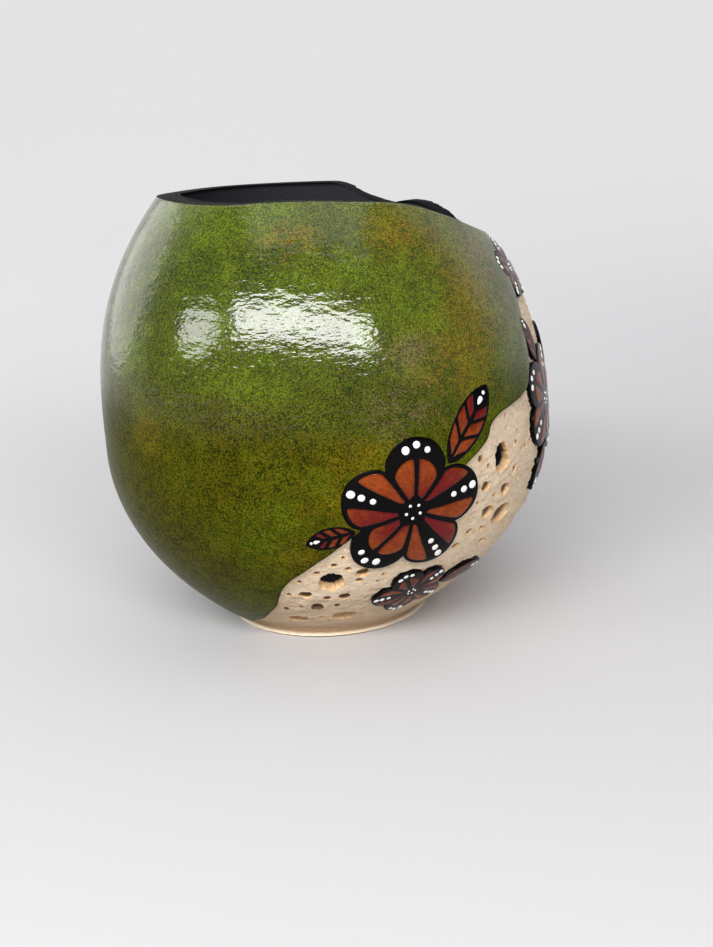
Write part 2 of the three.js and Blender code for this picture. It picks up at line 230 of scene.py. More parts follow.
def chisel_marks(turn, height, from_border):
    # They run round the bowl and fade out at the border and the lip
    rough = smooth(0.6, 2.5, from_border) * smooth(LIP_HEIGHT, LIP_HEIGHT + 1.6, height)
    marked = rough > 0.01
    spots = skin_point(turn, height)[marked] * (1, 1, 2.3)
    marks = 0.5 * rumple(spots, 0.16, 3) + 0.5 * rumple(spots, 0.34, 9) + 0.34 * rumple(spots, 0.62, 5)
    rough[marked] *= marks
    return np.where(marked, rough, 0)


def shell_rings():
    level = row_levels()[:, None]
    front, back = border_turn(FRONT_BORDER, level), border_turn(BACK_BORDER, level)
    step = np.degrees(1 / outer_radius(level))
    turn, share, kind = border_sides(front, back, step)
    height = row_height(level, turn)
    start = lip_start() * share
    height = np.where(height < LIP_HEIGHT, start + height * (1 - start / LIP_HEIGHT), height)
    depth = share * ground_depth(height)
    depth += chisel_marks(turn, height, np.minimum(turn - front, back - turn) / step)
    outside = skin_point(turn, height, depth)
    outside[0, :, 2] = 0
    # The foot is pared away a little under the edge of the lip
    foot = outside[0] * (FOOT_PARED, FOOT_PARED, 1)
    edge_rows = len(LIP_EDGE_HEIGHTS)
    outside[:edge_rows, :, 2] = np.maximum(outside[:edge_rows, :, 2], LIP_EDGE_HEIGHTS)
    out = curve_value(LIP_OUT, np.clip(outside[:, :, 2], LIP_OUT[0][0], LIP_OUT[-1][0])) * share
    outside[:, :, :2] *= (1 + out / np.hypot(outside[:, :, 0], outside[:, :, 1]))[:, :, None]
    outside = np.concatenate([[foot], outside])
    top, last_depth = rim_at(turn[-1]), depth[-1]
    rim = []
    for drop, share_in in RIM_ROUNDING:
        rim.append(level_point(turn[-1], top - drop, last_depth + (WALL - last_depth) * share_in))
    inside = []
    for share_down in np.linspace(0, 1, INSIDE_ROWS):
        height_in = (top - 1) + (FLOOR - top + 1) * share_down
        inside.append(skin_point(turn[-1], height_in, WALL))
    return np.concatenate([outside, rim, inside, floor_bend(inside[-1], FLOOR)]), kind, len(outside)


def level_point(turn, level, depth):
    # A point in the wall that lies exactly at a level above the table
    height = level + depth * skin_direction(level)[1]
    height = level + depth * skin_direction(height)[1]
    point = skin_point(turn, height, depth)
    point[..., 2] = level
    return point


# Solids are drawn as rings of points that run anticlockwise seen from the last ring's side, closed by
# a middle point at either end.

def ring_solid(first_end, rings, last_end):
    rows, columns = rings.shape[:2]
    points = np.concatenate([[first_end], rings.reshape(-1, 3), [last_end]])
    last = len(points) - 1
    i = np.arange(columns)
    j = (i + 1) % columns
    low = 1 + np.arange(rows - 1)[:, None] * columns
    sides = np.stack([low + i, low + j, low + columns + j, low + columns + i], -1)
    faces = sides.reshape(-1, 4).tolist()
    faces += np.stack([0 * i, 1 + j, 1 + i], -1).tolist()
    faces += np.stack([0 * i + last, last - columns + i, last - columns + j], -1).tolist()
    return points, faces


def joined(solids):
    points, faces, start = [], [], 0
    for solid_points, solid_faces in solids:
        points.append(solid_points)
        faces += [[start + corner for corner in face] for face in solid_faces]
        start += len(solid_points)
    return np.concatenate(points), faces


scene = bpy.context.scene


def add_mesh(name, solid, materials, sharp_angle=35.0):
    points, faces = solid
    mesh = bpy.data.meshes.new(name)
    mesh.from_pydata((points * 0.001).tolist(), [], faces)
    for material in materials:
        mesh.materials.append(material)
    mesh.polygons.foreach_set("use_smooth", [True] * len(mesh.polygons))
    mesh.set_sharp_from_angle(angle=math.radians(sharp_angle))
    piece = bpy.data.objects.new(name, mesh)
    scene.collection.objects.link(piece)
    return piece


def cut(piece, solid, material):
    cutter = add_mesh(piece.name + "_cutter", solid, [material])
    change = piece.modifiers.new("cut", "BOOLEAN")
    change.operation = "DIFFERENCE"
    change.solver = "MANIFOLD"
    change.object = cutter
    shaped = bpy.data.meshes.new_from_object(piece.evaluated_get(bpy.context.evaluated_depsgraph_get()))
    piece.modifiers.clear()
    piece.data = shaped
    bpy.data.objects.remove(cutter)


# Where the blossoms and leaves go, since each is let into a pocket of the shell. A blossom is given by
# turn, height, radius, petals and tilt. A leaf grows out of a notch between two petals: its blossom,
# the way it points, its length and its width.

PETAL_NOTCH, PETAL_ROUNDNESS, LEAF_ROUNDNESS, LEAF_GAP = 0.3, 0.75, 0.45, 2.2
RELIEF_THICKNESS, FIT_GAP, HAND_WANDER = 2.6, 0.3, 0.45
BLOSSOMS = {
    "front": (20, 71, 31, 5, 14), "low": (27, 28, 17, 5, 46), "side": (73, 100, 24, 5, 74),
    "rim": (76, RIM_HEIGHT - 35, 14.5, 5, 90), "back": (121, 70, 31, 6, 30),
    "back_rim": (134, RIM_HEIGHT - 33, 24, 5, 90), "far": (166, 62, 17, 5, 74),
}
LEAVES = [
    ("leaf_front_top", "front", 50, 36, 15), ("leaf_front_left", "front", 194, 20, 10),
    ("leaf_low_right", "low", 10, 25, 11), ("leaf_side_top", "side", 110, 21, 10),
    ("leaf_side_right", "side", 38, 26, 12), ("leaf_side_low", "side", 254, 22, 11),
    ("leaf_back_top", "back", 120, 30, 13), ("leaf_back_right", "back", 60, 30, 13),
    ("leaf_back_low_left", "back", 240, 29, 13), ("leaf_back_low_right", "back", 300, 29, 13),
    ("leaf_back_rim_left", "back_rim", 198, 25, 12), ("leaf_back_rim_right", "back_rim", 342, 25, 12),
    ("leaf_far_top", "far", 110, 24, 11), ("leaf_far_low", "far", 254, 24, 11),
]


def petal_reach(blossom, angle):
    fullness = np.abs(np.cos(blossom["petals"] * angle / 2)) ** PETAL_ROUNDNESS
    return blossom["radius"] * (1 - PETAL_NOTCH * (1 - fullness))


def leaf_half_width(leaf, along):
    share = np.clip(1 - (2 * along / leaf["length"]) ** 2, 0, 1)
    return leaf["width"] / 2 * share ** ((1 + LEAF_ROUNDNESS) / 2)


blossoms = []
for name, (turn, height, radius, petals, tilt) in BLOSSOMS.items():
    blossoms.append({"name": "blossom_" + name, "turn": turn, "height": height, "radius": radius,
                     "petals": petals, "tilt": math.radians(tilt)})
leaves = []
for name, blossom_name, towards, length, width in LEAVES:
    parent = next(b for b in blossoms if b["name"] == "blossom_" + blossom_name)
    distance = parent["radius"] * (1 - PETAL_NOTCH) + LEAF_GAP + length / 2
    angle = math.radians(towards)
    height = climb(parent["height"], distance * math.sin(angle))
    turn = parent["turn"] + math.degrees(distance * math.cos(angle) / outer_radius(height))
    leaves.append({"name": name, "turn": turn, "height": height, "tilt": angle,
                   "length": length, "width": width})


def blossom_outline(blossom):
    steps = 22 * blossom["petals"]
    angle = np.arange(steps) * 2 * np.pi / steps
    reach = petal_reach(blossom, angle)
    return np.stack([reach * np.cos(angle), reach * np.sin(angle)], -1)


def leaf_outline(leaf):
    steps = 64
    angle = np.arange(steps) * 2 * np.pi / steps
    side = np.sin(angle) * np.abs(np.sin(angle)) ** LEAF_ROUNDNESS
    return np.stack([leaf["length"] / 2 * np.cos(angle), leaf["width"] / 2 * side], -1)


def grown(outline, margin):
    along = np.roll(outline, -1, 0) - np.roll(outline, 1, 0)
    along /= np.hypot(*along.T)[:, None]
    return outline + margin * np.stack([along[:, 1], -along[:, 0]], -1)


def on_relief(piece, flat, depth):
    # A hand drew the figures, so each one's lines wander a little in their own way
    wander = [rumple(flat, 0.09, piece["turn"] + 50.3 * k) for k in (1, 2)]
    flat = flat + HAND_WANDER * np.stack(wander, -1)
    c, s = math.cos(piece["tilt"]), math.sin(piece["tilt"])
    across, up = flat[..., 0] * c - flat[..., 1] * s, flat[..., 0] * s + flat[..., 1] * c
    return laid_point(piece, across, up, depth)


def relief_solid(piece, outline, outer, inner, edge):
    # The edge is pairs of inset and depth, from the inner face out to the outer face
    shares = np.array([0.2, 0.4, 0.58, 0.74, 0.88])
    rings = [on_relief(piece, outline * share, inner) for share in shares]
    rings += [on_relief(piece, grown(outline, -inset), depth) for inset, depth in edge]
    rings += [on_relief(piece, outline * share, outer) for share in shares[::-1]]
    ends = [on_relief(piece, np.zeros(2), depth) for depth in (inner, outer)]
    return ring_solid(ends[0], np.stack(rings), ends[1])


def clear_of_reliefs(turn, height, size):
    # Whether a pit of that size keeps off every blossom and leaf
    for piece in blossoms + leaves:
        up = height - piece["height"]
        across = math.radians(turn - piece["turn"]) * float(outer_radius(height))
        up /= float(skin_direction((height + piece["height"]) / 2)[0])
        c, s = math.cos(piece["tilt"]), math.sin(piece["tilt"])
        along, side = across * c + up * s, up * c - across * s
        if "petals" in piece:
            reach = float(petal_reach(piece, math.atan2(side, along)))
            free = math.hypot(along, side) > reach + size / 2 + RELIEF_MARGIN
        else:
            grow = size + 2 * RELIEF_MARGIN
            free = (along / (piece["length"] + grow)) ** 2 + (side / (piece["width"] + grow)) ** 2 > 0.25
        if not free:
            return False
    return True


# The two holes, and the front's pits, each by turn, height and size
HOLES = [
    {"turn": 0.4, "height": 38.3, "width": 10.8, "tall": 12.5, "slant": (0.0, -0.32)},
    {"turn": 46.8, "height": 84.2, "width": 9.6, "tall": 12.4, "slant": (0.4, -0.08)},
]
FRONT_PITS = [
    (9.1, 42.8, 6), (-7.6, 31.1, 5.8), (4.6, 29.1, 5), (-4.4, 22.6, 5.5), (-13.3, 13, 9.6),
    (5.5, 14.3, 11.2), (41.3, 73.9, 5.2), (49.5, 69.2, 6), (44, 60.8, 7.2), (50.9, 56.9, 12.4),
    (62.1, 53.5, 4.6), (3.5, 51.7, 1.9), (1.2, 47.9, 2.9), (5, 45.7, 2.9), (-3.5, 44.2, 3),
    (8.5, 38.4, 3.6), (-8.7, 39.1, 2.5), (-12.7, 31.3, 2.6), (-1, 28.8, 3.5), (-10, 23.6, 2.4),
    (2.5, 23.1, 2.6), (-15.8, 21.4, 2.3), (-3.4, 14.4, 3.3), (53.3, 88.5, 2.2), (41.7, 83.1, 2.2),
    (52.4, 76.8, 3.4), (45.1, 68.3, 2.5), (39.2, 67.2, 2), (44.4, 52.8, 3.7), (39.5, 53.4, 3.7),
    (37.4, 60.5, 1.6),
]
RELIEF_MARGIN, PIT_MARGIN, HOLE_SPAN = 0.9, 0.8, 12
LARGE_PIT_TRIES, SMALL_PIT_TRIES = 44, 900
SMALL_PIT, WIDE_PIT = 4, 8
# Pairs of scale and share of the depth down a pit, and of scale and depth down a hole
PIT_PROFILE = [(0.65, 0.97), (0.86, 0.84), (0.95, 0.55), (0.99, 0.25), (1.0, 0.0)]
HOLE_PROFILE = [(0.96, 10.0), (0.96, 6.6), (0.95, 5.2), (0.97, 3.4), (1.0, 2.2), (1.06, 1.6), (1.12, 0.3)]


def fits_on_ground(turn, height, size, others):
    radius = float(outer_radius(height))
    margin = math.degrees((size * 0.6 + 1.2) / radius)
    if not curve_value(FRONT_BORDER, height) + margin < turn < curve_value(BACK_BORDER, height) - margin:
        return False
    if height > rim_at(turn) - size - 4:
        return False
    near = others + [(hole["turn"], hole["height"], hole["tall"]) for hole in HOLES]
    for other_turn, other_height, other_size in near:
        apart = math.hypot(math.radians(turn - other_turn) * radius, height - other_height)
        if apart < (size + other_size) / 2 + PIT_MARGIN:
            return False
    return clear_of_reliefs(turn, height, size)


def all_pits():
    # Large pits and then small ones fill the rest of the ground, at turns that never repeat
    golden = (math.sqrt(5) - 1) / 2
    pits = [pit for pit in FRONT_PITS if clear_of_reliefs(*pit)]
    for i in range(LARGE_PIT_TRIES):
        turn = 62 + 128 * (i * golden % 1)
        height = 14 + (RIM_HEIGHT - 45) * (i + 0.5) / LARGE_PIT_TRIES
        size = 5 + 5 * (i * math.sqrt(2) % 1)
        if fits_on_ground(turn, height, size, pits):
            pits.append((turn, height, size))
    for i in range(SMALL_PIT_TRIES):
        turn = -30 + 245 * (i * golden % 1)
        height = 13.5 + (RIM_HEIGHT - 30) * (i * math.sqrt(2) % 1)
        size = 1.5 + 2.6 * (i * math.sqrt(3) % 1) ** 2
        if fits_on_ground(turn, height, size * 1.9, pits):
            pits.append((turn, height, size))
    return pits


def oval(width, tall, steps, seed, chipped):
    angle = np.arange(steps) * 2 * np.pi / steps
    around = np.stack([np.cos(angle), np.sin(angle), 0 * angle + seed], -1)
    reach = 1 + 0.16 * rumple(around, 1.3, seed) + chipped * rumple(around, 4.5, seed)
    return np.stack([width / 2 * reach * np.cos(angle), tall / 2 * reach * np.sin(angle)], -1)


def bored(turn, height, outline, profile, slant=(0, 0)):
    # The profile is pairs of scale and depth, from the bottom up to above the skin
    place = {"turn": turn, "height": height}
    rings = []
    for scale, depth in profile:
        across, up = (outline * scale + (depth - GROUND_DEPTH) * np.array(slant)).T
        rings.append(laid_point(place, across, up, depth))
    return ring_solid(rings[0].mean(0), np.stack(rings), rings[-1].mean(0))


def pit_depth(size):
    return np.minimum(0.32 * size + 0.7, 3.4)


def pit_solid(pit):
    turn, height, size = pit
    deep = float(pit_depth(size))
    small = size < SMALL_PIT
    outline = oval(size, size * (0.86 if size > WIDE_PIT else 0.96), 12 if small else 28, turn, 0.1)
    rows = [(scale, GROUND_DEPTH + deep * share) for scale, share in PIT_PROFILE[::2 if small else 1]]
    return bored(turn, height, outline, rows + [(1.04, GROUND_DEPTH - 0.35), (1.12, 0.2)])


def hole_solid(hole):
    outline = oval(hole["width"], hole["tall"], 64, hole["turn"], 0.16)
    return bored(hole["turn"], hole["height"], outline, HOLE_PROFILE, hole["slant"])


def shell_place(points):
    # Turn, height and depth of points in the wall, and how far they are inside the green skin's edge
    height = points[:, 2]
    for _ in range(5):
        across = points[:, 0] - centre_shift(height)
        level, upright = skin_direction(height)
        depth = np.clip((outer_radius(height) - np.hypot(across, points[:, 1])) / level, -1, 9)
        height = points[:, 2] + depth * upright
    turn = np.degrees(np.arctan2(across, -points[:, 1]))
    turn = np.where(turn < -92, turn + 360, turn)
    edges, radius = [], outer_radius(height)
    for border, side in ((FRONT_BORDER, 1), (BACK_BORDER, -1)):
        line = border_at(border, height)
        lean = np.radians(curve_value(border, height + 0.5) - curve_value(border, height - 0.5)) * radius
        edges.append(side * (line - turn) * np.radians(radius) / np.hypot(1, lean))
    return turn, height, depth, np.maximum(*edges)


def pit_shade_share(turn, height, depth):
    # How much painted shade a point in a pit or hole gets: how far down its nearest pit or hole it is,
    # from 0 at the ground to 1 at the bottom. The painted shade is weaker on the lower side of the holes
    # and of the pits near the foot, where the light falls.
    share = np.zeros(len(turn))
    sunk = np.flatnonzero(depth > GROUND_DEPTH + 0.05)
    hollows = pits + [(hole["turn"], hole["height"], HOLE_SPAN) for hole in HOLES]
    pit_turn, pit_height, size = np.array(hollows).T
    is_hole = np.arange(len(hollows)) >= len(pits)
    full = np.where(is_hole, WALL - GROUND_DEPTH, pit_depth(size))
    for part in np.array_split(sunk, 40):
        across = np.radians(turn[part, None] - pit_turn) * outer_radius(pit_height)
        up = (height[part, None] - pit_height) / skin_direction(pit_height)[0]
        nearest = np.argmin(np.hypot(across, up) / size, 1)
        upper = smooth(-0.3, 0.2, up[np.arange(len(part)), nearest] / size[nearest])
        lower_side_lit = np.where(is_hole[nearest], 1, 1 - smooth(15, 26, pit_height[nearest]))
        shade_kept = 1 - 0.75 * lower_side_lit * (1 - upper)
        share[part] = (depth[part] - GROUND_DEPTH) / full[nearest] * shade_kept
    return np.clip(share, 0, 1)


def give_values(piece, **values):
    # Numbers on a piece's points, which its materials read
    for name, value in values.items():
        laid = piece.data.attributes.new(name, "FLOAT", "POINT").data
        laid.foreach_set("value", np.ascontiguousarray(value, np.float32))


def mesh_points(piece):
    points = np.empty(3 * len(piece.data.vertices), np.float32)
    piece.data.vertices.foreach_get("co", points)
    return points.reshape(-1, 3).astype(float) * 1000


# The finishes are worked out as sums. A Wire is a value in a material's node tree, and each sum with it
# adds the node that does the sum. A Sheet is one material, or the air, with its tree.

class Wire:
    def __init__(self, sheet, socket):
        self.sheet = sheet
        self.socket = socket

    def __add__(self, other):
        return self.sheet.maths("ADD", self, other)

    def __sub__(self, other):
        return self.sheet.maths("SUBTRACT", self, other)

    def __rsub__(self, other):
        return self.sheet.maths("SUBTRACT", other, self)

    def __mul__(self, other):
        return self.sheet.maths("MULTIPLY", self, other)

    __radd__ = __add__
    __rmul__ = __mul__


class Sheet:
    def __init__(self, name, kind=bpy.data.materials):
        self.owner = kind.new(name)
        self.owner.use_nodes = True
        self.tree = self.owner.node_tree
        self.tree.nodes.clear()

    def node(self, kind, settings=None, inputs=None, output=0):
        made = self.tree.nodes.new("ShaderNode" + kind)
        for key, value in (settings or {}).items():
            setattr(made, key, value)
        for key, value in (inputs or {}).items():
            if isinstance(value, Wire):
                self.tree.links.new(value.socket, made.inputs[key])
            else:
                made.inputs[key].default_value = value
        return None if output is None else Wire(self, made.outputs[output])

    def maths(self, operation, first, second):
        return self.node("Math", {"operation": operation}, {0: first, 1: second})

    def mix(self, share, low, high):
        return self.node("Mix", {"data_type": "RGBA"}, {0: share, 6: low, 7: high}, 2)

    def steps(self, value, low, high):
        return self.node("MapRange", {"interpolation_type": "SMOOTHSTEP"}, {0: value, 1: low, 2: high})

    def place(self):
        return self.node("TexCoord", output=3)

    def noise(self, scale, detail, roughness, stretch=(1, 1, 1), shift=0.0):
        laid = self.node("Mapping", None, {0: self.place(), 1: (shift, shift, shift), 3: stretch})
        inputs = {"Vector": laid, "Scale": scale, "Detail": detail, "Roughness": roughness}
        return self.node("TexNoise", None, inputs)

    def attribute(self, name):
        return self.node("Attribute", {"attribute_name": name}, output=2)

    def bump(self, height, distance, strength=1.0):
        return self.node("Bump", None, {"Height": height, "Distance": distance, "Strength": strength})

    def shader(self, **inputs):
        spaced = {key.replace("_", " "): value for key, value in inputs.items()}
        return self.node("BsdfPrincipled", None, spaced)

    def show(self, shader):
        self.node("OutputMaterial", None, {"Surface": shader}, None)
        return self.owner

    def finish(self, **inputs):
        return self.show(self.shader(**inputs))


def dye(code):
    # A screen colour of six hex digits, as the amounts of light that a shader takes
    parts = [int(code[i:i + 2], 16) / 255 for i in (0, 2, 4)]
    light = [part / 12.92 if part <= 0.04045 else ((part + 0.055) / 1.055) ** 2.4 for part in parts]
    return (*light, 1)


def skin_dye():
    # Leather dye dabbed on with a sponge: olive, deep green and yellow-brown clouds, all stippled.
    # The green is darkened by painted shade below the belly and at the foot. The lacquer over it is
    # glossy on the shoulder and more satin towards the foot.
    sheet = Sheet("green_dyed_skin")
    olive, gold, drab, deep_green = dye("50690e"), dye("73640f"), dye("6f6344"), dye("173e03")
    umber, ink, straw, scorched = dye("221f00"), dye("081200"), dye("b0981c"), dye("1a2204")
    cloud = sheet.noise(24, 4, 0.55)
    blotch = sheet.noise(75, 4, 0.6, shift=0.3)
    dab = sheet.noise(270, 4, 0.7)
    speck = sheet.noise(1500, 2, 0.7)
    gilt = sheet.attribute("ochre") * 0.9 + (blotch - 0.5) * 2.1 + (cloud - 0.5) * 1.5
    light = sheet.mix(sheet.steps(gilt, -0.25, 0.95), olive, gold)
    dull = sheet.steps(sheet.attribute("grey") + (blotch - 0.5) * 0.9, 0.0, 1.1)
    light = sheet.mix(dull * 0.9, light, drab)
    lean = (sheet.attribute("deep") - sheet.attribute("ochre")) * 0.13
    share = cloud * 0.8 + (blotch - 0.5) * 1.2 + (dab - 0.5) * 2.1 + lean
    colour = sheet.mix(sheet.steps(share, 0.24, 0.56), light, deep_green)
    # Darker dye patches, partly painted shade, and painted shade below the belly and at the foot, all
    # towards umber
    dark = sheet.steps(sheet.attribute("dark") + (blotch - 0.5) * 0.4, 0.0, 1.2)
    colour = sheet.mix(dark * 0.72, colour, umber)
    stipple = sheet.steps(speck + (dab - 0.5) * 0.6, 0.38, 0.62)
    colour = sheet.mix(stipple, sheet.mix(0.68, colour, ink), sheet.mix(0.14, colour, straw))
    by_knife = sheet.steps(sheet.attribute("edge"), 1.4, 0.0)
    colour = sheet.mix(by_knife * 0.6, colour, scorched)
    ripple = sheet.noise(150, 2, 0.5, stretch=(1, 1, 2.2))
    ripple += sheet.noise(520, 1, 0.5, stretch=(1, 1, 1.6)) * 0.35
    lacquer = sheet.bump(ripple + speck * 0.08, 0.00026)
    glossy = sheet.shader(Base_Color=colour, Roughness=0.1, IOR=1.59, Normal=lacquer)
    satin = sheet.shader(Base_Color=colour, Roughness=0.3, IOR=1.1, Normal=lacquer)
    low = sheet.steps(sheet.attribute("low"), 0.0, 1.0)
    return sheet.show(sheet.node("MixShader", None, {0: low, 1: glossy, 2: satin}))


def bare_ground():
    # The pale layer under the skin, rough from the chisel. It has painted shade in its hollows and just
    # above the lip, and a paler smooth lip that is partly a painted highlight.
    sheet = Sheet("carved_ground")
    streak = sheet.noise(280, 5, 0.72, stretch=(1, 1, 1.7))
    fleck = sheet.noise(1100, 2, 0.6, stretch=(1, 1, 1.5))
    rough = 1.0 - sheet.attribute("cove") * 0.85
    colour = sheet.mix(sheet.steps(streak, 0.26, 0.5), dye("f0c292"), dye("fee6c6"))
    colour = sheet.mix(sheet.steps(fleck, 0.6, 0.78) * 0.45, colour, dye("a87f52"))
    # Painted shade where the chisel marks cut deepest
    colour = sheet.mix(sheet.steps(sheet.attribute("depth"), 2.1, 2.9) * 0.35, colour, dye("c49f70"))
    # Painted shade in the hollow just above the lip
    colour = sheet.mix(sheet.attribute("groove") * 0.55, colour, dye("a98257"))
    # The lip below 1.8 mm is plain pale cream: partly its own smooth uncarved face, partly a painted
    # highlight
    colour = sheet.mix(sheet.attribute("cove") * 0.8, colour, dye("f8e6cc"))
    relief = sheet.bump((streak + fleck * 0.3) * rough, 0.0034)
    return sheet.finish(Base_Color=colour, Roughness=0.7, Normal=relief)


def pit_wall():
    # Freshly drilled tan wood, with painted shade in dark brown towards the bottom and the upper side of
    # each pit
    sheet = Sheet("pit_inside")
    grain = sheet.noise(500, 4, 0.65)
    colour = sheet.mix(sheet.steps(grain, 0.35, 0.7), dye("f2cfa0"), dye("d8a976"))
    # Painted shade: dark brown by how far down the pit or hole, less on the lower side of holes and low
    # pits
    colour = sheet.mix(sheet.steps(sheet.attribute("sunk"), 0.3, 0.85) * 0.88, colour, dye("3c220e"))
    return sheet.finish(Base_Color=colour, Roughness=0.85, Normal=sheet.bump(grain, 0.0007))


def burnt_line():
    sheet = Sheet("burnt_line")
    char = sheet.noise(900, 3, 0.6)
    colour = sheet.mix(char, dye("0d0b0a"), dye("241a14"))
    return sheet.finish(Base_Color=colour, Roughness=0.5, Normal=sheet.bump(char, 0.0003, 0.5))


def black_paint(name, code):
    # Matt black along the rim. Further down it is the colour given, greyed by dust.
    sheet = Sheet(name)
    dust = sheet.steps(sheet.noise(160, 6, 0.8), 0.58, 0.75)
    deep = sheet.steps(sheet.attribute("drop"), 0.3, 2.5)
    colour = sheet.mix(deep, dye("0b0b0d"), sheet.mix(dust * 0.4, dye(code), dye("77777c")))
    grain = sheet.bump(sheet.noise(700, 3, 0.6), 0.0002)
    return sheet.finish(Base_Color=colour, Roughness=0.75, IOR=1.25, Normal=grain)


green, cream, tan, burnt = skin_dye(), bare_ground(), pit_wall(), burnt_line()
black = black_paint("rim_paint", "0b0b0d")
rings, column_kind, outside_rows = shell_rings()
columns = rings.shape[1]
wall = ring_solid(np.zeros(3), rings, np.array([centre_shift(FLOOR), 0, FLOOR]))
SHELL_CREASE, BARE, BLACK = 40, 1, 4
shell = add_mesh("gourd_shell_fine", wall, [green, cream, tan, burnt, black], SHELL_CREASE)
# Outside, a face is green or bare. The base is bare, and the rim and the inside are black.
face_kind = np.full((len(rings) - 1, columns), BLACK)
face_kind[:outside_rows - 1] = column_kind
face_kind = np.concatenate([face_kind.ravel(), np.full(columns, BARE), np.full(columns, BLACK)])
shell.data.polygons.foreach_set("material_index", face_kind.astype(np.int32))

pits = all_pits()
cut(shell, joined([pit_solid(pit) for pit in pits]), tan)
cut(shell, joined([hole_solid(hole) for hole in HOLES]), tan)
POCKET_PLAY, OVER_SKIN = 0.12, -1.5
pocket_floor = RELIEF_THICKNESS + FIT_GAP
pocket_edge = [(-POCKET_PLAY, depth) for depth in (pocket_floor, GROUND_DEPTH, 0.8, OVER_SKIN)]
pockets = []
for piece in blossoms + leaves:
    outline = blossom_outline(piece) if "petals" in piece else leaf_outline(piece)
    pockets.append(relief_solid(piece, outline, OVER_SKIN, pocket_floor, pocket_edge))
cut(shell, joined(pockets), burnt)

shell_points = mesh_points(shell)
turn, height, depth, edge = shell_place(shell_points)
level = shell_points[:, 2]


def cloud_at(*spots):
    # Soft patches of dye, and among the dark ones on the lower left partly painted shade, each by turn,
    # height, width and how tall it is
    total = np.zeros(len(turn))
    for spot_turn, spot_height, wide, tall in spots:
        total += np.exp(-((turn - spot_turn) / wide) ** 2 - ((height - spot_height) / tall) ** 2)
    return total


# Away is 0 at the front and 1 at the back, where less of the lacquer is satin
away = smooth(60, 125, np.abs((turn + 180) % 360 - 180))
# Painted shade: the green darkens below the belly, more on the left, and towards the foot
painted_shade_below_belly = 0.62 * (1 - smooth(106, 152, height)) * (1 - 0.4 * smooth(0, 35, turn))
painted_shade_at_foot = 0.28 * (1 - smooth(20, 80, height))
give_values(
    shell, depth=depth, edge=edge,
    low=(1 - 0.45 * away) * (1 - smooth(92 - 40 * away, 136 + 24 * away, height)),
    deep=cloud_at((-32, 168, 10, 16), (-12, 160, 10, 10), (-22, 104, 9, 9), (8, 110, 6, 8)),
    ochre=cloud_at((30, 178, 12, 10), (33, 124, 11, 22), (46, 152, 9, 24), (-44, 102, 7, 11),
                   (2, 74, 9, 12), (-6, 52, 9, 9), (8, 96, 10, 9), (-4, 178, 9, 6)),
    grey=cloud_at((18, 112, 10, 13), (23, 134, 7, 7), (58, 160, 9, 28)),
    # Darker dye patches that are partly painted shade, plus the painted shade below the belly and at the
    # foot
    dark=0.7 * cloud_at((-46, 62, 14, 26), (-24, 84, 8, 12), (-64, 70, 14, 40), (-14, 88, 8, 7),
                        (-5, 101, 8, 9), (-20, 108, 10, 9)) + painted_shade_below_belly + painted_shade_at_foot,
    # The painted shade in the pits and holes
    sunk=pit_shade_share(turn, height, depth),
    # The smooth lip, whose paler colour is partly a painted highlight
    cove=1 - smooth(1.35, 1.8, level),
    # Where the painted shade in the hollow above the lip falls
    groove=smooth(1.5, 2.1, level) * (1 - smooth(3.5, 10, level)),
)
shell.data.set_sharp_from_angle(angle=math.radians(SHELL_CREASE))
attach(shell, "root")
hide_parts("gourd_shell")


# The paint inside: matt black, brushed over the whole inner wall and floor up to the rim. It is one
# thin film that holds by itself, and the two holes go through it.

COAT, COAT_CREASE, COAT_COLUMNS, COAT_ROWS = 0.6, 50, 180, 40


def coat_rings():
    turn = np.arange(COAT_COLUMNS) * 360 / COAT_COLUMNS
    top = rim_at(turn)
    sides = []
    for depth in (WALL + FIT_GAP, WALL + FIT_GAP + COAT):
        floor = FLOOR + depth - WALL
        side = list(floor_bend(skin_point(turn, floor + 0 * turn, depth), floor))[::-1]
        for share in np.linspace(0, 1, COAT_ROWS)[:-1]:
            side.append(skin_point(turn, floor + (top - 1 - floor) * share, depth))
        side.append(level_point(turn, top, depth))
        sides.append(side)
    return np.stack(sides[0] + sides[1][::-1])


under = np.array([centre_shift(FLOOR + FIT_GAP), 0, FLOOR + FIT_GAP])
inside_paint = black_paint("inside_paint", "44444b")
film = ring_solid(under, coat_rings(), under + (0, 0, COAT))
coat = add_mesh("interior_coat_fine", film, [inside_paint], COAT_CREASE)
cut(coat, joined([hole_solid(hole) for hole in HOLES]), inside_paint)
coat.data.set_sharp_from_angle(angle=math.radians(COAT_CREASE))
coat_points = mesh_points(coat)
coat_turn = np.degrees(np.arctan2(coat_points[:, 0], -coat_points[:, 1]))
give_values(coat, drop=rim_at(coat_turn) - coat_points[:, 2])
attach(coat, "root")
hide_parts("interior_coat")


# The dyed cells of the blossoms and leaves: shallow cushions of dyed skin between burnt black grooves.
# Each is a grid over a patch of the figure, rounded at its corners and sunk at its edges.

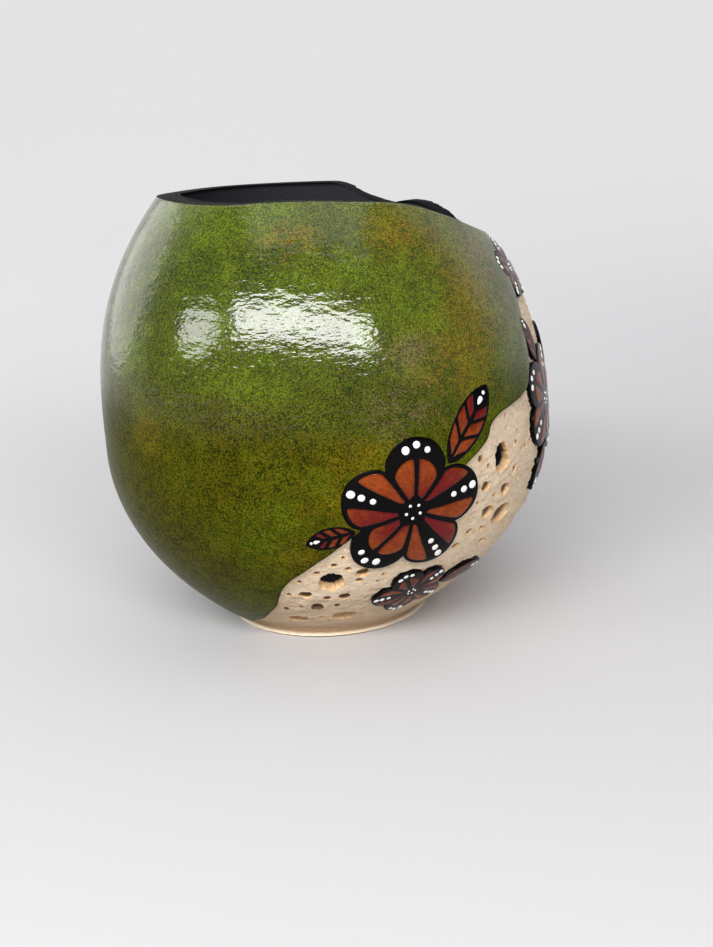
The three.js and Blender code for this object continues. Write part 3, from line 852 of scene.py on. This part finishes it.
def dyed_cell():
    sheet = Sheet("dyed_cell")
    tint = sheet.attribute("tint")
    cloud = sheet.noise(90, 4, 0.65)
    speck = sheet.noise(700, 3, 0.65)
    share = sheet.steps(tint + (cloud - 0.5) * 2.1, 0.0, 0.85)
    colour = sheet.mix(share, dye("8e3e0a"), dye("6a120a"))
    colour = sheet.mix(sheet.steps(tint + (cloud - 0.5) * 0.7, 0.55, 1.0), colour, dye("6c0812"))
    colour = sheet.mix(sheet.steps(speck, 0.35, 0.7) * 0.5, colour, dye("420c05"))
    colour = sheet.mix(sheet.steps(sheet.attribute("from_line"), 2.0, 0.0) * 0.6, colour, dye("240604"))
    lacquer = sheet.bump(sheet.noise(300, 2, 0.5, stretch=(1, 1, 2.5)), 0.0002, 0.4)
    return sheet.finish(Base_Color=colour, Roughness=0.14, IOR=1.27, Normal=lacquer)


def plain_paint(name, code, roughness):
    sheet = Sheet(name)
    grain = sheet.noise(900, 3, 0.6)
    tone = tuple(0.86 * part for part in dye(code)[:3]) + (1,)
    colour = sheet.mix(grain, dye(code), tone)
    relief = sheet.bump(grain, 0.0001, 0.3)
    return sheet.finish(Base_Color=colour, Roughness=roughness, IOR=1.18, Normal=relief)


dyed = dyed_cell()
black_dye = plain_paint("black_dye", "050405", 0.15)
white_paint = plain_paint("white_paint", "f2f1ee", 0.2)


# The materials' places in a figure's list
SLAB, CELL, DOT = 0, 1, 2


class Figure:
    """One blossom or leaf while its slab, cells and dots are gathered into a mesh."""

    def __init__(self, piece):
        self.piece = piece
        self.solids, self.kinds, self.tints, self.from_lines = [], [], [], []

    def add(self, solid, kind, tint=0.0, from_line=9.0):
        self.solids.append(solid)
        self.kinds.append(np.full(len(solid[1]), kind, np.int32))
        self.tints.append(np.broadcast_to(np.asarray(tint, float), len(solid[0])))
        self.from_lines.append(np.broadcast_to(np.asarray(from_line, float), len(solid[0])))

    def cell(self, spot, tint_low, tint_high, rows=13, columns=11):
        # The spot gives the flat place of each pair of shares, across and along, from -1 to 1
        a, b = np.meshgrid(np.linspace(-1, 1, columns), np.linspace(-1, 1, rows))
        a, b = np.sin(a * np.pi / 2) * 0.5 + a * 0.5, np.sin(b * np.pi / 2) * 0.5 + b * 0.5
        flat = spot(a * (1 - 0.13 * np.abs(b) ** 8), b * (1 - 0.08 * np.abs(a) ** 8))
        width = np.hypot(*(flat[:, -1] - flat[:, 0]).T)[:, None]
        length = np.hypot(*(flat[-1] - flat[0]).T)[None]
        from_edge = np.minimum((1 - np.abs(a)) * width / 2, (1 - np.abs(b)) * length / 2)
        outer = on_relief(self.piece, flat, 0.5 * np.exp(-from_edge / 0.35) + 0.02)
        inner = on_relief(self.piece, flat, 0 * a + 1.2)
        count = a.size
        corner = np.arange(count).reshape(a.shape)
        top = np.stack([corner[:-1, :-1], corner[:-1, 1:], corner[1:, 1:], corner[1:, :-1]], -1)
        top = top.reshape(-1, 4)
        loop = np.concatenate([corner[0, :-1], corner[:-1, -1], corner[-1, :0:-1], corner[:0:-1, 0]])
        around = np.roll(loop, -1)
        side = np.stack([loop, loop + count, around + count, around], -1)
        faces = np.concatenate([top, top[:, ::-1] + count, side])
        points = np.concatenate([outer.reshape(-1, 3), inner.reshape(-1, 3)])
        first, second, third = points[faces[len(top) // 2][:3]]
        normal = np.cross(second - first, third - first)
        if normal @ (points[0] - points[count]) < 0:
            faces = faces[:, ::-1]
        tint = np.tile((tint_low + (tint_high - tint_low) * (b + 1) / 2).ravel(), 2)
        self.add((points, faces.tolist()), CELL, tint, np.tile(from_edge.ravel(), 2))

    def dot(self, x, y, size, tail=0.0):
        # A blob of white paint, round or with a tail drawn out downward
        angle = np.arange(18) * 2 * np.pi / 18
        reach = np.stack([np.cos(angle), np.sin(angle)], -1) * size / 2
        reach[:, 0] *= np.where(np.cos(angle) > 0, 1, 1 + tail)
        reach[:, 1] *= np.where(np.cos(angle) > 0, 1, 1 - 0.35 * (tail > 0) * np.cos(angle) ** 2)
        rows = [(0.5, 0.4), (1.0, 0.4), (1.0, 0.14), (0.9, 0.02), (0.65, -0.1), (0.3, -0.16)]
        rings = [on_relief(self.piece, np.array([x, y]) + reach * scale, depth) for scale, depth in rows]
        ends = [on_relief(self.piece, np.array([x, y]), depth) for depth in (0.4, -0.17)]
        self.add(ring_solid(ends[0], np.stack(rings), ends[1]), DOT)

    def make(self, outline):
        edge = [(0, RELIEF_THICKNESS), (0, 1.6), (0, 0.7), (0.06, 0.38), (0.25, 0.2), (0.6, 0.15)]
        self.add(relief_solid(self.piece, outline, 0.15, RELIEF_THICKNESS, edge), SLAB)
        materials = [black_dye, dyed, white_paint]
        made = add_mesh(self.piece["name"] + "_fine", joined(self.solids), materials, 50)
        made.data.polygons.foreach_set("material_index", np.concatenate(self.kinds))
        give_values(made, tint=np.concatenate(self.tints), from_line=np.concatenate(self.from_lines))
        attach(made, "root")
        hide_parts(self.piece["name"])


# The blossoms: dyed skin 2.6 mm thick, let into pockets of the shell. A petal has two dyed cells, and
# three white dots on a black tip or on a black wedge down its middle. The middle of the blossom is
# black with a ring of white dots.

LINE, CELL_START, CELL_END = 0.42, 0.19, 0.97


def petal_spot(blossom, axis, sides, shares):
    # A cell's flat places between two angles of its petal and two shares of the petal's reach
    low, high = sides
    near, far = shares

    def spot(a, b):
        angle = low + (high - low) * (a + 1) / 2
        reach = petal_reach(blossom, angle)
        start, end = near * reach + LINE, far * reach - LINE
        distance = start + (end - start) * (b + 1) / 2
        squeeze = 1 - 2 * LINE / np.maximum(distance * abs(high - low), 2.5 * LINE)
        angle = (low + high) / 2 + (angle - (low + high) / 2) * squeeze + axis
        return np.stack([distance * np.cos(angle), distance * np.sin(angle)], -1)
    return spot


for blossom in blossoms:
    figure = Figure(blossom)
    petals, radius = blossom["petals"], blossom["radius"]
    half = math.pi / petals
    for k in range(petals):
        axis = 2 * half * k
        if k % 2:
            shares = CELL_START, 0.76
            figure.cell(petal_spot(blossom, axis, (-half * CELL_END, 0), shares), 0.9, 0.1)
            figure.cell(petal_spot(blossom, axis, (0, half * CELL_END), shares), 0.7, 0.0)
            spots = [(-0.28, 0.86), (0.0, 0.9), (0.28, 0.86)]
        else:
            shares = CELL_START, CELL_END
            figure.cell(petal_spot(blossom, axis, (-half * CELL_END, -half * 0.26), shares), 0.3, 0.1)
            figure.cell(petal_spot(blossom, axis, (half * 0.26, half * CELL_END), shares), 1.0, 0.5)
            spots = [(0.0, 0.6), (0.0, 0.76), (0.0, 0.9)]
        for i, (side, share) in enumerate(spots):
            angle = side * half
            reach = share * float(petal_reach(blossom, np.array(angle)))
            size = (0.055 + 0.012 * i) * radius + 0.9
            figure.dot(reach * math.cos(axis + angle), reach * math.sin(axis + angle), size)
    for k in range(petals):
        angle = 2 * half * (k + 0.5)
        figure.dot(0.1 * radius * math.cos(angle), 0.1 * radius * math.sin(angle), 0.03 * radius + 0.4)
    figure.make(blossom_outline(blossom))


# The leaves, of dyed skin like the blossoms and let in the same way. A burnt midrib and slanting veins
# part them into dyed cells, and the tip is black with a drawn-out white drop and a dot.

def leaf_spot(leaf, side, near, far):
    # A cell's flat places on one side of the midrib, between two shares of the way along the leaf
    def spot(a, b):
        along = (near + (far - near) * (b + 1) / 2) * leaf["length"] / 2
        share = (a + 1) / 2
        along = along + 0.16 * leaf["length"] * share * side * side
        room = np.maximum(leaf_half_width(leaf, along) - 2.2 * LINE, 0.05)
        return np.stack([along + LINE * (1 - b) / 2 - LINE * (1 + b) / 2, side * (LINE + room * share)], -1)
    return spot


for leaf in leaves:
    figure = Figure(leaf)
    for side in (-1, 1):
        cells = [(-0.93, -0.42, 0.55, 0.25), (-0.42, 0.02, 0.2 + 0.3 * side, 0.4), (0.02, 0.36, 0.6, 0.95)]
        for near, far, low, high in cells:
            figure.cell(leaf_spot(leaf, side, near, far), low, high, 9, 9)
    figure.dot(0.62 * leaf["length"] / 2, 0, 0.16 * leaf["width"], 1.3)
    figure.dot(0.79 * leaf["length"] / 2, 0, 0.12 * leaf["width"])
    figure.make(leaf_outline(leaf))


# The floor and backdrop: one sweep of pale paper that rises behind the bowl, a little paler at the
# back. The air beyond it is pale to the eye and dimmer to the light that it gives.

PALE, DIM = (0.78, 0.775, 0.785, 1), (0.22, 0.22, 0.23, 1)


def shown(sheet, behind):
    # The rays that show the pale background: to the eye, and at the back in what is glossy or clear
    rays = ("Is Camera Ray", "Is Glossy Ray", "Is Transmission Ray")
    eye, glossy, clear = [sheet.node("LightPath", output=ray) for ray in rays]
    return sheet.maths("MAXIMUM", eye, sheet.maths("MAXIMUM", glossy, clear) * behind)


def pale_paper():
    sheet = Sheet("pale_paper")
    back = sheet.node("SeparateXYZ", None, {0: sheet.place()}, 1)
    tone = sheet.mix(sheet.steps(back, -0.1, 1.1), dye("c9c8c9"), dye("f6f5f6"))
    grain = sheet.noise(1500, 2, 0.6)
    paper = sheet.shader(Base_Color=tone, Roughness=0.9, Normal=sheet.bump(grain, 0.0001, 0.3))
    haze = sheet.node("Emission", None, {"Color": PALE})
    far = sheet.steps(sheet.node("VectorMath", {"operation": "LENGTH"}, {0: sheet.place()}, 1), 0.5, 1.7)
    share = far * shown(sheet, sheet.steps(back, 0.0, 0.8))
    return sheet.show(sheet.node("MixShader", None, {0: share, 1: paper, 2: haze}))


air = Sheet("air", bpy.data.worlds)
way = air.node("SeparateXYZ", None, {0: air.node("TexCoord")}, 1)
tone = air.mix(shown(air, air.steps(way, 0.0, 0.4)), DIM, PALE)
air.node("OutputWorld", None, {"Surface": air.node("Background", None, {"Color": tone})}, None)
scene.world = air.owner

SWEEP = [(-1200, 0), (900, 0), (1250, 50), (1500, 200), (1600, 500), (1600, 2400)]
HALF_WIDTH, UNDER_FOOT = 3000, 0.1
floor_points = [(x, y, z - UNDER_FOOT) for y, z in SWEEP for x in (-HALF_WIDTH, HALF_WIDTH)]
floor_faces = [(2 * i, 2 * i + 1, 2 * i + 3, 2 * i + 2) for i in range(len(SWEEP) - 1)]
floor = add_mesh("floor", (np.array(floor_points), floor_faces), [pale_paper()], 80)


# The camera stands in front, a little above the rim, and is rolled by the three degrees that the bowl
# leans by in the photograph. Its place in metres, its dip and its focal length in pixels of the
# photograph come from a fit to the bowl's outline.

PICTURE_HEIGHT, FOCAL_LENGTH = 947, 1370
CAMERA_PLACE, CAMERA_DIP, CAMERA_ROLL = (0.01544, -0.60681, 0.23408), 15.85, -3
camera_data = bpy.data.cameras.new("camera")
camera_data.sensor_width = 36
camera_data.lens = camera_data.sensor_width * FOCAL_LENGTH / PICTURE_HEIGHT
camera = bpy.data.objects.new("camera", camera_data)
scene.collection.objects.link(camera)
dipped = Matrix.Rotation(math.radians(90 - CAMERA_DIP), 4, "X")
rolled = Matrix.Rotation(math.radians(CAMERA_ROLL), 4, "Z")
camera.matrix_world = Matrix.Translation(CAMERA_PLACE) @ dipped @ rolled
scene.camera = camera


# Soft studio light: a wide window in front, a small one to the left and a dim one behind on the left,
# which all show in the lacquer, and a dim panel overhead.

def add_window(name, shape, turn, rise, distance, width, tall, power, tilt=0.0):
    # Turn, rise and tilt are in degrees, lengths in metres and the power in watts
    data = bpy.data.lights.new(name, "AREA")
    data.shape = shape
    data.size = width
    data.size_y = tall
    data.energy = power
    lamp = bpy.data.objects.new(name, data)
    scene.collection.objects.link(lamp)
    side, up = math.radians(turn), math.radians(rise)
    way = Vector((math.sin(side) * math.cos(up), -math.cos(side) * math.cos(up), math.sin(up)))
    middle = Vector((0, 0, 0.15))
    facing = way.to_track_quat("Z", "Y").to_matrix().to_4x4() @ Matrix.Rotation(math.radians(tilt), 4, "Z")
    lamp.matrix_world = Matrix.Translation(middle + distance * way) @ facing


add_window("window_front", "RECTANGLE", -7, 31, 1.5, 1.9, 0.38, 33, -4)
add_window("window_left", "ELLIPSE", -64, 20, 1.5, 0.62, 0.38, 4.5, 20)
add_window("window_behind", "ELLIPSE", -126, 15, 1.5, 1.1, 1.1, 3.3)
add_window("panel_above", "RECTANGLE", 0, 88, 1.6, 1.6, 1.6, 7)
scene.view_settings.view_transform = "Standard"
